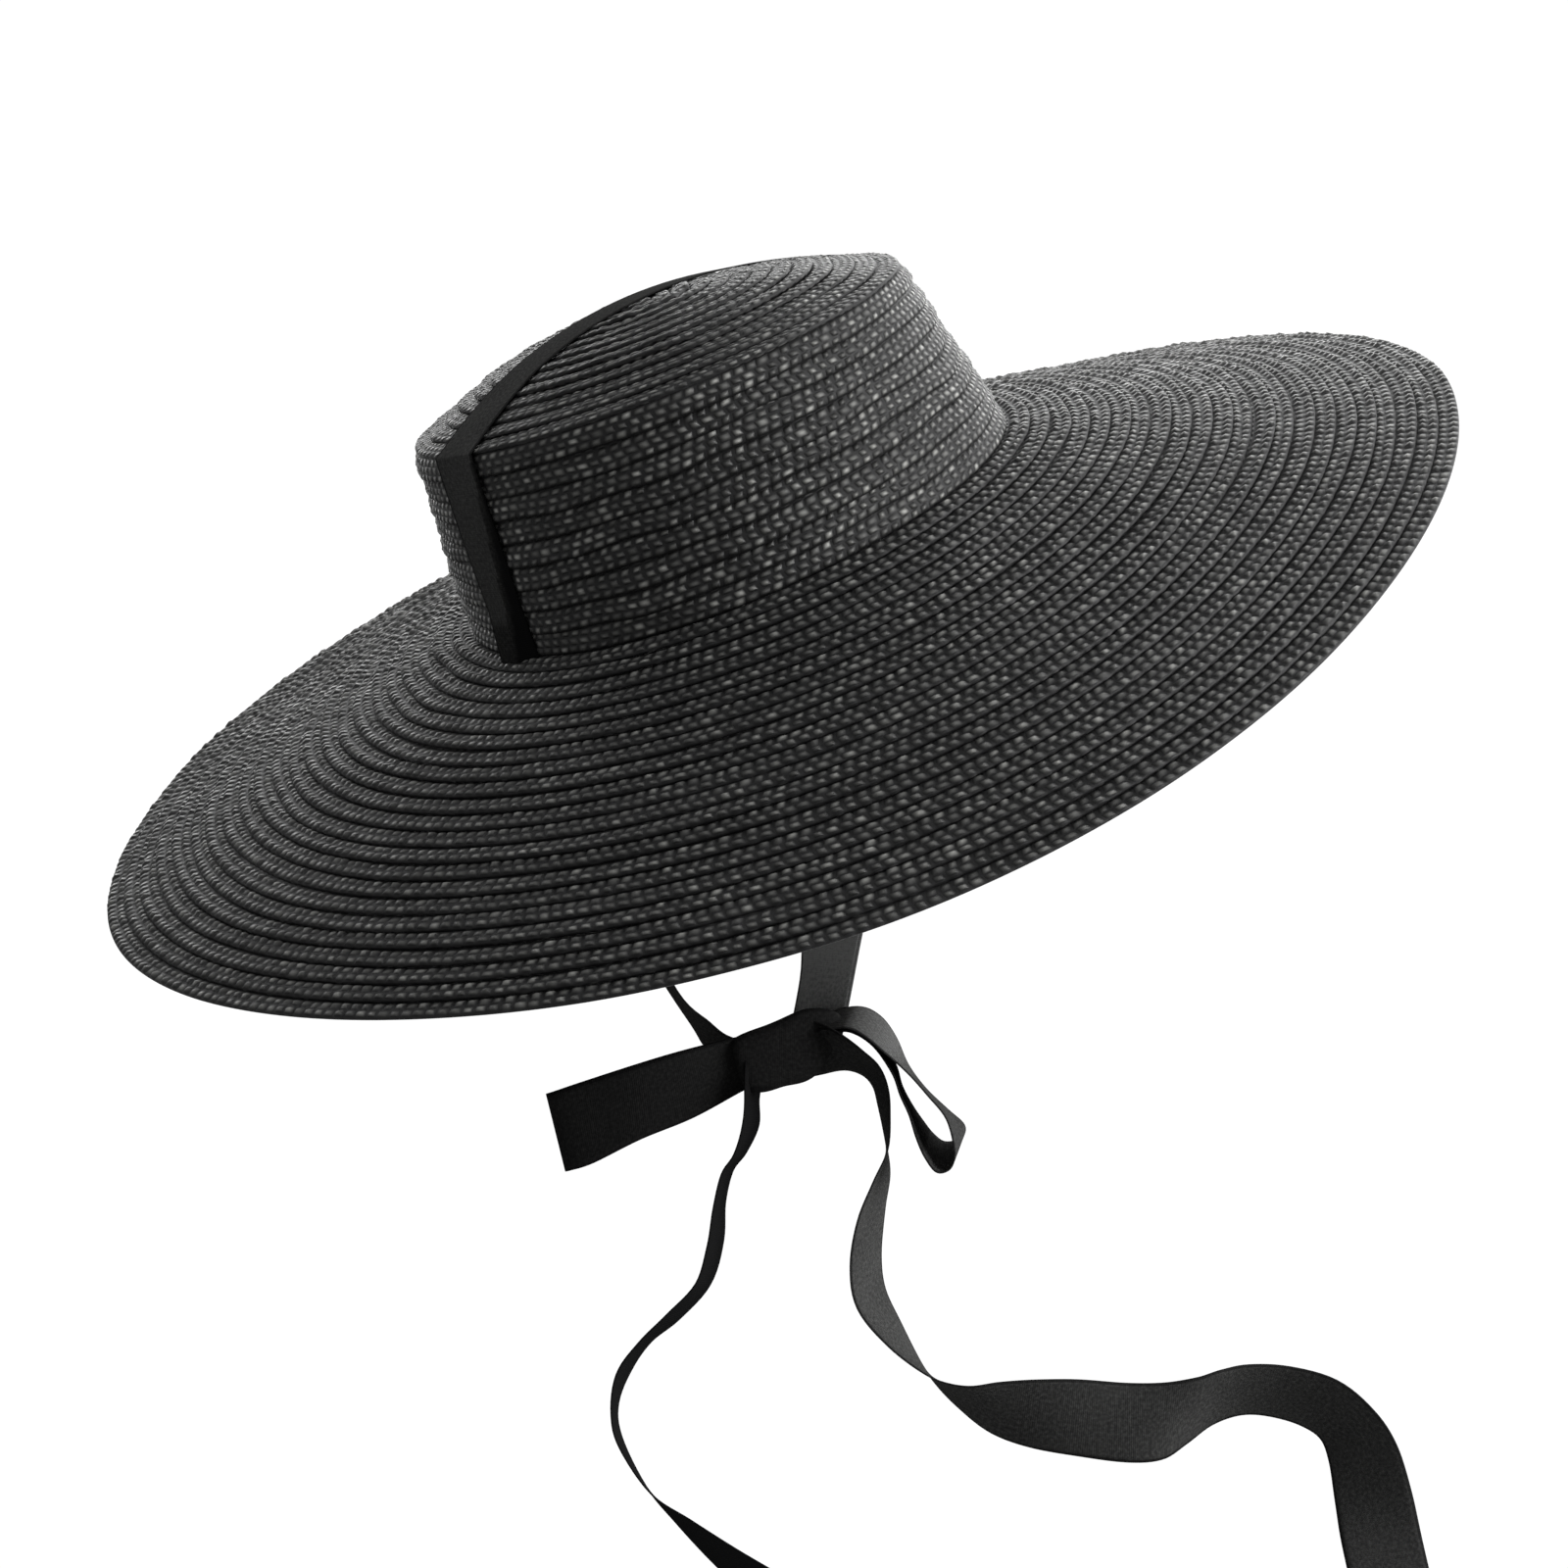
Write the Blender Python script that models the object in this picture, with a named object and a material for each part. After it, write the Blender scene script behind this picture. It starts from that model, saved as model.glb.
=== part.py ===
# A wide-brimmed straw hat with a ribbon over its crown, tied in a bow below it.
# Metres, +Z up the crown, X from ear to ear, -Y to the front. The origin is the centre of
# the head opening, on the level where the crown meets the brim.

import math
from collections import namedtuple

import bmesh
import bpy
from mathutils import Matrix, Vector

# Crown: an oval tube of straw rows with a domed top
crown_half_x = 0.088        # outer face at the base, ear to ear
crown_half_y = 0.097        # outer face at the base, front to back
crown_height = 0.058        # base to the sharp top edge
top_half_x = 0.0758         # top edge
top_half_y = 0.0874
top_lean_x = 0.004          # how much higher the top edge is at -X
top_lean_y = 0.0034         # how much higher it is at the front
dome_rise = 0.017           # top edge to the middle of the top

# Brim: a sloping oval ring of straw rows
brim_half_x = 0.2255
brim_half_y = 0.220
brim_shift_y = 0.003        # how far the rim sits to the back
brim_drop = 0.0425          # mean drop of the rim below the crown's base

# Straw braid
row_pitch = 0.0065
row_step = 0.0013           # how far the lower edge of a row stands over the next row
straw_wall = 0.0018
seat_gap = 0.0003           # clearance between pieces that touch
row_lip = 0.2               # share of a row that its outer edge takes to fall to the seam
around = 44                 # facets round the hat
crown_lining_rings = 8      # rings of the plain inner faces
brim_lining_rings = 6
slot_reach = 0.02           # height of the block that cuts a slot

# Ribbon
ribbon_width = 0.025
ribbon_thick = 0.001
slot_spare = 0.0008         # clearance of the ribbon in its slot, each side
ribbon_end_drop = 0.0022    # how far the crown ribbon reaches below the brim
crown_ribbon_steps = 3      # facets along each gathered stretch of the crown ribbon
strap_gap = 0.0008          # from the crown ribbon's ends to the straps
tie_steps = 2               # facets from one section of a tie to the next

# The ties hang in their own plumb frame: side, depth and drop
tie_turn = math.radians(-30.5)
tie_pitch = math.radians(17.6)
tie_roll = math.radians(24.1)
knot_side = 0.0155
knot_depth = 0.005
knot_drop = 0.163
knot_length = 0.036
knot_thick = 0.012
knot_round = 0.0016
knot_gap = 0.0005
loop_left_length = 0.071
loop_right_length = 0.065
tail_drop = 0.174

# The rim's height round the hat, as shares of brim_drop: one row for each number of waves
Wave = namedtuple("Wave", "waves along_x along_y")
rim_waves = (
    Wave(1, -0.05, 0.39),
    Wave(2, 0.035, -0.11),
    Wave(3, -0.05, -0.055),
)

# How far the ribbon is drawn together on its way from the slot, at run 2, over the top edge,
# at run 1, to the middle of the top, as shares of ribbon_width
Gather = namedtuple("Gather", "run width")
gathers = (
    Gather(2.00, 0.45),
    Gather(1.75, 0.42),
    Gather(1.40, 0.70),
    Gather(1.03, 0.80),
    Gather(1.00, 0.80),
    Gather(0.97, 0.80),
    Gather(0.50, 0.88),
    Gather(0.00, 0.90),
)

# A section of a ribbon: its middle, as shares of the ribbon's own length from the knot
# (depth runs away to the back), the lean of its width in the plumb plane and its turn out
# of that plane in degrees, and its width as a share of ribbon_width
Section = namedtuple("Section", "side depth drop lean turn width")

tail_left_sections = (
    Section(-0.040, 0.000, 0.020, 0, 60, 0.55),
    Section(-0.048, 0.000, 0.085, 5, 77, 0.80),
    Section(-0.051, 0.005, 0.140, 15, 78, 1.0),
    Section(-0.070, 0.010, 0.190, 25, 81, 1.0),
    Section(-0.093, 0.010, 0.224, 22, 82, 1.0),
    Section(-0.107, 0.005, 0.282, 10, 82, 1.0),
    Section(-0.114, 0.000, 0.350, 12, 79, 1.0),
    Section(-0.136, -0.010, 0.422, 38, 78, 1.0),
    Section(-0.190, -0.020, 0.480, 55, 77, 1.0),
    Section(-0.240, -0.020, 0.525, 41, 80, 1.0),
    Section(-0.277, -0.015, 0.578, 22, 80, 1.0),
    Section(-0.294, -0.010, 0.645, 2, 83, 1.0),
    Section(-0.284, -0.005, 0.706, -14, 85, 1.0),
    Section(-0.234, 0.000, 0.793, -40, 90, 1.0),
    Section(-0.172, 0.005, 0.850, -44, 101, 1.0),
    Section(-0.100, 0.010, 0.911, -44, 109, 1.0),
    Section(-0.020, 0.015, 0.972, -44, 118, 1.0),
)
tail_right_sections = (
    Section(0.040, 0.000, 0.000, 105, 20, 0.80),
    Section(0.091, 0.000, 0.010, 112, 50, 0.95),
    Section(0.132, 0.005, 0.021, 122, 68, 1.0),
    Section(0.164, 0.010, 0.040, 134, 75, 1.0),
    Section(0.182, 0.013, 0.070, 160, 80, 1.0),
    Section(0.189, 0.015, 0.110, 176, 83, 1.0),
    Section(0.194, 0.020, 0.177, 178, 90, 1.0),
    Section(0.184, 0.020, 0.236, 172, 104, 1.0),
    Section(0.166, 0.015, 0.300, 168, 112, 1.0),
    Section(0.156, 0.010, 0.382, 174, 114, 1.0),
    Section(0.166, 0.005, 0.450, 160, 113, 1.0),
    Section(0.208, 0.000, 0.515, 145, 104, 1.0),
    Section(0.256, -0.010, 0.571, 135, 90, 1.0),
    Section(0.292, -0.015, 0.601, 118, 79, 1.0),
    Section(0.336, -0.020, 0.625, 104, 64, 1.0),
    Section(0.389, -0.025, 0.642, 95, 42, 1.0),
    Section(0.455, -0.030, 0.651, 95, 25, 1.0),
    Section(0.531, -0.030, 0.658, 94, 12, 1.0),
    Section(0.622, -0.025, 0.668, 90, 3, 1.0),
    Section(0.690, -0.020, 0.666, 94, 8, 1.0),
    Section(0.741, -0.005, 0.650, 97, 25, 1.0),
    Section(0.788, 0.020, 0.627, 95, 44, 1.0),
    Section(0.841, 0.045, 0.615, 92, 54, 1.0),
    Section(0.905, 0.060, 0.620, 104, 54, 1.0),
    Section(0.975, 0.060, 0.642, 121, 46, 1.0),
    Section(1.026, 0.050, 0.683, 143, 42, 1.0),
    Section(1.053, 0.040, 0.733, 158, 34, 1.0),
    Section(1.070, 0.030, 0.807, 166, 22, 1.0),
    Section(1.084, 0.020, 0.885, 170, 10, 1.0),
    Section(1.107, 0.010, 0.990, 170, 2, 1.0),
)
loop_left_sections = (
    Section(-0.10, -0.020, 0.040, 73, 0, 0.60),
    Section(-0.21, -0.035, 0.080, 73, 0, 0.68),
    Section(-0.41, -0.070, 0.160, 78, 0, 0.83),
    Section(-0.62, -0.085, 0.235, 83, 0, 0.90),
    Section(-0.84, -0.060, 0.325, 80, 0, 1.0),
    Section(-0.95, -0.032, 0.362, 77, 0, 1.0),
    Section(-0.98, 0.000, 0.370, 76, 0, 1.0),
    Section(-0.95, 0.032, 0.362, 77, 0, 1.0),
    Section(-0.84, 0.060, 0.325, 80, 0, 1.0),
    Section(-0.62, 0.085, 0.235, 83, 0, 0.90),
    Section(-0.41, 0.070, 0.160, 78, 0, 0.83),
    Section(-0.21, 0.035, 0.080, 73, 0, 0.68),
    Section(-0.10, 0.020, 0.040, 73, 0, 0.60),
)
loop_right_sections = (
    Section(0.20, -0.02, -0.135, -65, 78, 0.40),
    Section(0.35, -0.02, -0.165, -60, 75, 0.46),
    Section(0.45, 0.00, -0.110, -50, 75, 0.75),
    Section(0.54, 0.01, -0.010, -42, 80, 1.0),
    Section(0.64, 0.02, 0.108, -40, 86, 1.0),
    Section(0.73, 0.03, 0.211, -42, 83, 1.0),
    Section(0.822, 0.03, 0.319, -45, 77, 1.0),
    Section(0.868, 0.03, 0.430, -52, 72, 1.0),
    Section(0.852, 0.03, 0.505, -60, 71, 1.0),
    Section(0.780, 0.03, 0.525, -66, 71, 1.0),
    Section(0.722, 0.03, 0.470, -60, 75, 1.0),
    Section(0.676, 0.03, 0.390, -48, 80, 1.0),
    Section(0.634, 0.03, 0.300, -40, 85, 1.0),
    Section(0.588, 0.02, 0.205, -40, 86, 1.0),
    Section(0.550, 0.01, 0.094, -40, 85, 1.0),
    Section(0.460, 0.00, -0.033, -46, 83, 0.75),
    Section(0.345, -0.02, -0.095, -52, 82, 0.46),
    Section(0.235, -0.02, -0.085, -55, 82, 0.40),
)

# A section of a strap: how far it is from the slot to the knot, and its offsets from the
# straight line there as shares of the line's length
Hang = namedtuple("Hang", "along side depth drop lean turn width")
strap_left_hangs = (
    Hang(0.00, 0.000, 0.000, 0.000, 3, -55, 0.45),
    Hang(0.20, 0.000, 0.010, 0.050, -5, -62, 0.70),
    Hang(0.45, 0.000, 0.040, 0.100, -18, -74, 0.95),
    Hang(0.667, 0.000, 0.110, 0.120, -28, -82, 1.0),
    Hang(0.794, 0.000, 0.155, 0.096, -32, -75, 1.0),
    Hang(0.86, 0.000, 0.135, 0.072, -33, -60, 0.85),
    Hang(0.93, 0.000, 0.070, 0.030, -33, -30, 0.70),
    Hang(1.00, 0.000, 0.000, 0.000, -33, 0, 0.60),
)
strap_right_hangs = (
    Hang(0.00, 0.000, 0.000, 0.000, 3, -55, 0.45),
    Hang(0.15, 0.003, 0.000, 0.000, 4, -52, 0.65),
    Hang(0.35, 0.006, 0.000, 0.000, 5, -48, 0.90),
    Hang(0.60, 0.010, 0.004, 0.000, 6, -43, 1.0),
    Hang(0.80, 0.014, 0.006, 0.000, 4, -37, 1.0),
    Hang(0.90, 0.016, 0.006, 0.000, 2, -26, 0.95),
    Hang(1.00, 0.000, 0.000, 0.000, 0, 0, 0.85),
)

# Where the straps end behind the knot, and the knot's outline seen from the front, as
# shares of knot_length
Corner = namedtuple("Corner", "side drop")
strap_left_end = Corner(-0.29, 0.12)
strap_right_end = Corner(0.30, 0.00)
knot_outline = (
    Corner(-0.44, -0.05),
    Corner(-0.28, -0.15),
    Corner(0.00, -0.25),
    Corner(0.16, -0.34),
    Corner(0.38, -0.36),
    Corner(0.56, -0.31),
    Corner(0.58, -0.19),
    Corner(0.48, -0.06),
    Corner(0.37, 0.22),
    Corner(0.22, 0.31),
    Corner(0.03, 0.32),
    Corner(-0.16, 0.40),
    Corner(-0.31, 0.36),
)

# Colours and finishes of the materials
straw_black = (0.020, 0.020, 0.021)
ribbon_black = (0.012, 0.012, 0.012)
straw_roughness = 0.42
ribbon_roughness = 0.75

top_rows = round(top_half_y / row_pitch)
side_rows = round(crown_height / row_pitch)
brim_run = math.hypot(brim_half_x - crown_half_x, brim_drop)
brim_rows = round(brim_run / row_pitch)

# The middle of the ribbon's thickness lies this far off the seams of the rows
ribbon_offset = row_step + seat_gap + ribbon_thick / 2
slot_x = crown_half_x + ribbon_offset
slot_width = gathers[0].width * ribbon_width + 2 * slot_spare
slot_thick = ribbon_thick + 2 * slot_spare
ribbon_foot = -(straw_wall + ribbon_end_drop)

# The tie frame's axes are the columns: side, depth and up
tie_frame = (
    Matrix.Rotation(tie_turn, 3, "Z")
    @ Matrix.Rotation(-tie_pitch, 3, "X")
    @ Matrix.Rotation(tie_roll, 3, "Y")
)
knot_place = Vector((knot_side, knot_depth, -knot_drop))


def clear_scene():
    for obj in list(bpy.data.objects):
        bpy.data.objects.remove(obj, do_unlink=True)


def plain_material(name, colour, roughness):
    material = bpy.data.materials.new(name)
    material.use_nodes = True
    shader = material.node_tree.nodes["Principled BSDF"]
    shader.inputs["Base Color"].default_value = (*colour, 1.0)
    shader.inputs["Roughness"].default_value = roughness
    shader.inputs["Metallic"].default_value = 0.0
    material.diffuse_color = (*colour, 1.0)
    return material


def add_object(name, bm, colour, roughness, parent=None):
    """Turns a bmesh into a named object with its own material."""
    mesh = bpy.data.meshes.new(name)
    bm.to_mesh(mesh)
    bm.free()
    mesh.shade_smooth()
    mesh.set_sharp_from_angle(angle=math.radians(35))
    mesh.materials.append(plain_material(name + "_finish", colour, roughness))
    obj = bpy.data.objects.new(name, mesh)
    obj.parent = parent
    bpy.context.scene.collection.objects.link(obj)
    return obj


def add_cutter(name, bm, parent=None):
    """A guide solid: it is cut out of its neighbours and is no piece of the hat."""
    mesh = bpy.data.meshes.new(name)
    bm.to_mesh(mesh)
    bm.free()
    cutter = bpy.data.objects.new(name, mesh)
    cutter.parent = parent
    cutter.hide_render = True
    cutter.display_type = "WIRE"
    bpy.context.scene.collection.objects.link(cutter)
    return cutter


def cut_with(obj, cutter):
    cut = obj.modifiers.new("clear_of_" + cutter.name, "BOOLEAN")
    cut.operation = "DIFFERENCE"
    cut.solver = "EXACT"
    cut.object = cutter


# Crown and brim

def oval(half_x, half_y, angle):
    return Vector((half_x * math.cos(angle), half_y * math.sin(angle), 0.0))


def top_edge_height(angle):
    return crown_height - top_lean_x * math.cos(angle) - top_lean_y * math.sin(angle)


def crown_face(run, angle):
    """A point on the crown's seams: run 0 is the middle of the top, 1 its edge, 2 the base."""
    edge = oval(top_half_x, top_half_y, angle)
    if run <= 1.0:
        point = edge * run
        lean = (top_edge_height(angle) - crown_height) * run
        point.z = crown_height + lean + dome_rise * (1.0 - run * run)
        return point
    point = edge.lerp(oval(crown_half_x, crown_half_y, angle), run - 1.0)
    point.z = top_edge_height(angle) * (2.0 - run)
    return point


def rim_height(angle):
    height = -1.0
    for wave in rim_waves:
        turned = wave.waves * angle
        height += wave.along_x * math.cos(turned) + wave.along_y * math.sin(turned)
    return brim_drop * height


def brim_face(run, angle):
    """A point on the brim's seams: run -1 is the head opening, 0 the crown's foot, 1 the rim."""
    flare = row_step + seat_gap
    foot = oval(crown_half_x + flare, crown_half_y + flare, angle)
    if run <= 0.0:
        opening = oval(crown_half_x - straw_wall, crown_half_y - straw_wall, angle)
        return foot.lerp(opening, -run)
    rim = oval(brim_half_x, brim_half_y, angle) + Vector((0.0, brim_shift_y, 0.0))
    point = foot.lerp(rim, run)
    point.z = rim_height(angle) * run
    return point


def outward(face, run, angle):
    """The outward direction of a face, from points a small step to each side."""
    step = 0.004
    along = face(run + step, angle) - face(run - step, angle)
    across = face(run, angle + step) - face(run, angle - step)
    direction = along.cross(across)
    if direction.length < 1e-12:
        return Vector((0.0, 0.0, 1.0))
    return direction.normalized()


def row_section(first, last, rows):
    """The stepped section of sewn rows: each one rises from its seam to its outer edge."""
    width = (last - first) / rows
    section = []
    for row in range(rows):
        section.append((first + width * row, 0.0))
        section.append((first + width * (row + 1 - row_lip), row_step))
    return section


def lining_section(first, last, rings):
    """The plain inner face, from the first run to the last."""
    return [(first + (last - first) * ring / rings, -straw_wall) for ring in range(rings + 1)]


def pressed(section, face, closed):
    """Spins a section of (run, height) into a flat disc and presses that over a face."""
    hub = 2.0
    bm = bmesh.new()
    points = [bm.verts.new((hub + run, 0.0, height)) for run, height in section]
    edges = [bm.edges.new(pair) for pair in zip(points, points[1:])]
    if closed:
        edges.append(bm.edges.new((points[-1], points[0])))
    bmesh.ops.spin(
        bm, geom=points + edges, cent=(0, 0, 0), axis=(0, 0, 1), dvec=(0, 0, 0),
        angle=2 * math.pi, steps=around, use_merge=True, use_duplicate=False,
    )
    for vert in bm.verts:
        angle = math.atan2(vert.co.y, vert.co.x)
        run = math.hypot(vert.co.x, vert.co.y) - hub
        vert.co = face(run, angle) + outward(face, run, angle) * vert.co.z
    bmesh.ops.remove_doubles(bm, verts=bm.verts, dist=0.00002)
    bmesh.ops.recalc_face_normals(bm, faces=bm.faces)
    return bm


def build_crown():
    section = row_section(0.0, 1.0, top_rows) + row_section(1.0, 2.0, side_rows)
    section[-1] = (2.0, row_step)
    section += lining_section(2.0, 0.0, crown_lining_rings)
    bm = pressed(section, crown_face, closed=False)
    for vert in bm.verts:
        vert.co.z = max(vert.co.z, 0.0) + seat_gap
    return add_object("crown", bm, straw_black, straw_roughness)


def build_brim():
    section = [(-1.0, 0.0)] + row_section(0.0, 1.0, brim_rows)
    section[-1] = (1.0, row_step)
    section += lining_section(1.0, 0.0, brim_lining_rings) + [(-1.0, -straw_wall)]
    bm = pressed(section, brim_face, closed=True)
    brim = add_object("brim", bm, straw_black, straw_roughness)
    for side, name in ((-1, "slot_left"), (1, "slot_right")):
        slot = bmesh.new()
        bmesh.ops.create_cube(slot, size=1.0)
        bmesh.ops.scale(slot, vec=(slot_thick, slot_width, slot_reach), verts=slot.verts)
        bmesh.ops.translate(slot, vec=(side * slot_x, 0.0, 0.0), verts=slot.verts)
        cut_with(brim, add_cutter(name, slot))
    return brim


# Ribbon

Cut = namedtuple("Cut", "middle across")


def strip(name, cuts, parent=None):
    """A ribbon through its cuts: a flat grid laid on them, with its thickness to both sides."""
    bm = bmesh.new()
    bmesh.ops.create_grid(bm, x_segments=len(cuts) - 1, y_segments=1, size=0.5)
    for vert in bm.verts:
        cut = cuts[round((vert.co.x + 0.5) * (len(cuts) - 1))]
        vert.co = cut.middle + cut.across * vert.co.y
    ribbon = add_object(name, bm, ribbon_black, ribbon_roughness, parent)
    wall = ribbon.modifiers.new("thickness", "SOLIDIFY")
    wall.thickness = ribbon_thick
    wall.offset = 0.0
    wall.use_even_offset = True
    return ribbon


def smooth(rows, steps):
    """Catmull-Rom values between rows of numbers, a few steps to each row."""
    rows = [Vector(row) for row in rows]
    rows = [2 * rows[0] - rows[1]] + rows + [2 * rows[-1] - rows[-2]]
    values = []
    for before, start, end, after in zip(rows, rows[1:], rows[2:], rows[3:]):
        for step in range(steps):
            t = step / steps
            bend = 2 * before - 5 * start + 4 * end - after
            twist = 3 * start - before - 3 * end + after
            values.append(start + 0.5 * t * ((end - before) + t * (bend + t * twist)))
    values.append(rows[-2])
    return values


def across_of(lean, turn, share):
    """The ribbon's width as a vector of the tie frame."""
    lean, turn = math.radians(lean), math.radians(turn)
    flat = math.cos(turn)
    direction = Vector((flat * math.cos(lean), math.sin(turn), -flat * math.sin(lean)))
    return direction * share * ribbon_width


def section_cuts(sections, length):
    cuts = []
    for side, depth, drop, lean, turn, width in smooth(sections, tie_steps):
        middle = knot_place + length * Vector((side, depth, -drop))
        cuts.append(Cut(middle, across_of(lean, turn, width)))
    return cuts


def hang_cuts(hangs, slot_side, end, end_depth):
    """The cuts of a strap from its slot to a point behind the knot."""
    start = tie_frame.transposed() @ Vector((slot_side * slot_x, 0.0, ribbon_foot - strap_gap))
    finish = knot_place + Vector((end.side * knot_length, end_depth, -end.drop * knot_length))
    length = (finish - start).length
    cuts = []
    for along, side, depth, drop, lean, turn, width in smooth(hangs, tie_steps):
        middle = start.lerp(finish, along) + length * Vector((side, depth, -drop))
        cuts.append(Cut(middle, across_of(lean, turn, width)))
    return cuts


def crown_across(run, angle):
    """The direction across the ribbon, to the back along the crown's own slope."""
    if run < 0.01:
        return Vector((0.0, 1.0, -top_lean_y / top_half_y)).normalized()
    step = 0.05
    across = crown_face(run, angle + step) - crown_face(run, angle - step)
    return across.normalized() * math.copysign(1.0, across.y)


def above_crown(run, angle):
    """The ribbon's middle over a seam of the crown, held off far enough at the sharp edge."""
    step = 0.01
    both = outward(crown_face, max(run - step, 0.0), angle)
    both += outward(crown_face, run + step, angle)
    offset = both * (2 * ribbon_offset / both.length_squared)
    return crown_face(run, angle) + offset + Vector((0.0, 0.0, seat_gap))


def crown_ribbon_side(angle):
    """Cuts from the slot up one side of the crown to the middle of its top."""
    foot = Vector((math.copysign(slot_x, math.cos(angle)), 0.0, ribbon_foot))
    cuts = [Cut(foot, Vector((0.0, gathers[0].width * ribbon_width, 0.0)))]
    places = [Vector(gathers[0])]
    for start, end in zip(gathers, gathers[1:]):
        for step in range(crown_ribbon_steps):
            share = (step + 1) / crown_ribbon_steps
            places.append(Vector(start).lerp(Vector(end), share))
    for run, width in places:
        across = crown_across(run, angle) * width * ribbon_width
        cuts.append(Cut(above_crown(run, angle), across))
    return cuts


def build_crown_ribbon():
    left = crown_ribbon_side(math.pi)
    right = crown_ribbon_side(0.0)
    return strip("crown_ribbon", left + right[-2::-1])


def knot_solid(grow):
    """The knot's rounded block, grown to every side."""
    bm = bmesh.new()
    corners = []
    for corner in knot_outline:
        offset = Vector((corner.side, 0.0, -corner.drop)) * knot_length
        corners.append(bm.verts.new(knot_place + offset - Vector((0, knot_thick / 2, 0))))
    face = bm.faces.new(corners)
    grown = bmesh.ops.extrude_face_region(bm, geom=[face])["geom"]
    back = [item for item in grown if isinstance(item, bmesh.types.BMVert)]
    bmesh.ops.translate(bm, vec=(0.0, knot_thick, 0.0), verts=back)
    bmesh.ops.recalc_face_normals(bm, faces=bm.faces)
    rims = [edge for edge in bm.edges if abs(edge.verts[0].co.y - edge.verts[1].co.y) < 1e-6]
    bmesh.ops.bevel(
        bm, geom=rims, offset=knot_round, offset_type="OFFSET", segments=2, profile=0.5,
        affect="EDGES", material=-1,
    )
    if grow:
        bm.normal_update()
        for vert in bm.verts:
            vert.co += vert.normal * grow
    return bm


def build_ties():
    plumb = bpy.data.objects.new("plumb_frame", None)
    plumb.rotation_euler = tie_frame.to_euler()
    bpy.context.scene.collection.objects.link(plumb)
    add_object("bow_knot", knot_solid(0.0), ribbon_black, ribbon_roughness, plumb)
    knot_room = add_cutter("knot_room", knot_solid(knot_gap), plumb)
    behind = knot_thick / 2 + seat_gap + knot_gap + ribbon_thick / 2
    ties = {
        "strap_left": hang_cuts(strap_left_hangs, -1, strap_left_end, behind),
        "strap_right": hang_cuts(strap_right_hangs, 1, strap_right_end, behind),
        "bow_loop_left": section_cuts(loop_left_sections, loop_left_length),
        "bow_loop_right": section_cuts(loop_right_sections, loop_right_length),
        "tail_left": section_cuts(tail_left_sections, tail_drop),
        "tail_right": section_cuts(tail_right_sections, tail_drop),
    }
    for name, cuts in ties.items():
        cut_with(strip(name, cuts, plumb), knot_room)


clear_scene()
build_crown()
build_brim()
build_crown_ribbon()
build_ties()
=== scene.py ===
# Black straw sun hat with a ribbon over its crown, tied in a bow below it.
# Metres, +Z up the crown, X from ear to ear, -Y to the front.

import math

import bmesh
import bpy
import numpy as np
from mathutils import Matrix, Vector


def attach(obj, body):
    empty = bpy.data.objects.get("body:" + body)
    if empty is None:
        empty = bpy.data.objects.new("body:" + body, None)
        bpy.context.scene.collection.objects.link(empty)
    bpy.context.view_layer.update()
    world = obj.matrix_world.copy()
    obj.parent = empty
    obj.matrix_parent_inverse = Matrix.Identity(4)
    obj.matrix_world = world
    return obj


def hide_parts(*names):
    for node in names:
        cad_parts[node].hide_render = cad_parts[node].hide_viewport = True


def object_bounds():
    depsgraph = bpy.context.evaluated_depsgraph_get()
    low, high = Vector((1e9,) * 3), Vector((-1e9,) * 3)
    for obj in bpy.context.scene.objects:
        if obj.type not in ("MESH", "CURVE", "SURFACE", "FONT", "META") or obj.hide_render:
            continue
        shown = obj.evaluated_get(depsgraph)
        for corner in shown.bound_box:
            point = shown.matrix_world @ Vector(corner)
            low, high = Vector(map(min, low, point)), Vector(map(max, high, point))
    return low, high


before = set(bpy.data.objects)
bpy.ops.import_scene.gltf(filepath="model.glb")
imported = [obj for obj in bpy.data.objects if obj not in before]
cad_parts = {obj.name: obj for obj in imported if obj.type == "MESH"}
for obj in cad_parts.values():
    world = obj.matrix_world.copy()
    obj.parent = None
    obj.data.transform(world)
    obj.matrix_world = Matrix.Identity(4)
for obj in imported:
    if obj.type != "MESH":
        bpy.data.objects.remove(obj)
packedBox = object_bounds()
print("frame loaded:", len(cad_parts), "nodes")


# Camera, light and floor

view = {
    "azimuth": -30.5,           # degrees
    "elevation": 17.6,
    "roll": -24.1,
    "distance": 1.265,          # to the middle of the head opening
    "imageSize": 1600,          # pixels
    "focalPixels": 4150,
    "openingPixel": (744, 536),     # where the middle of the head opening lies in the picture
    "sensor": 36.0,             # millimetres
}


def aimCamera():
    azimuth, elevation, roll = (math.radians(view[key]) for key in ("azimuth", "elevation", "roll"))
    back = Vector((
        math.sin(azimuth) * math.cos(elevation),
        -math.cos(azimuth) * math.cos(elevation),
        math.sin(elevation),
    ))
    level = Vector((math.cos(azimuth), math.sin(azimuth), 0.0))
    upright = back.cross(level)
    right = level * math.cos(roll) + upright * math.sin(roll)
    up = upright * math.cos(roll) - level * math.sin(roll)
    perPixel = view["distance"] / view["focalPixels"]
    middle = view["imageSize"] / 2
    aside = (view["openingPixel"][0] - middle) * perPixel
    below = (view["openingPixel"][1] - middle) * perPixel
    cameraData = bpy.data.cameras.new("camera")
    cameraData.sensor_width = view["sensor"]
    cameraData.lens = view["focalPixels"] / view["imageSize"] * view["sensor"]
    camera = bpy.data.objects.new("camera", cameraData)
    turned = Matrix((right, up, back)).transposed()
    place = back * view["distance"] - right * aside + up * below
    camera.matrix_world = Matrix.Translation(place) @ turned.to_4x4()
    bpy.context.scene.collection.objects.link(camera)
    bpy.context.scene.camera = camera
    return right, up, back


viewRight, viewUp, viewBack = aimCamera()

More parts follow.
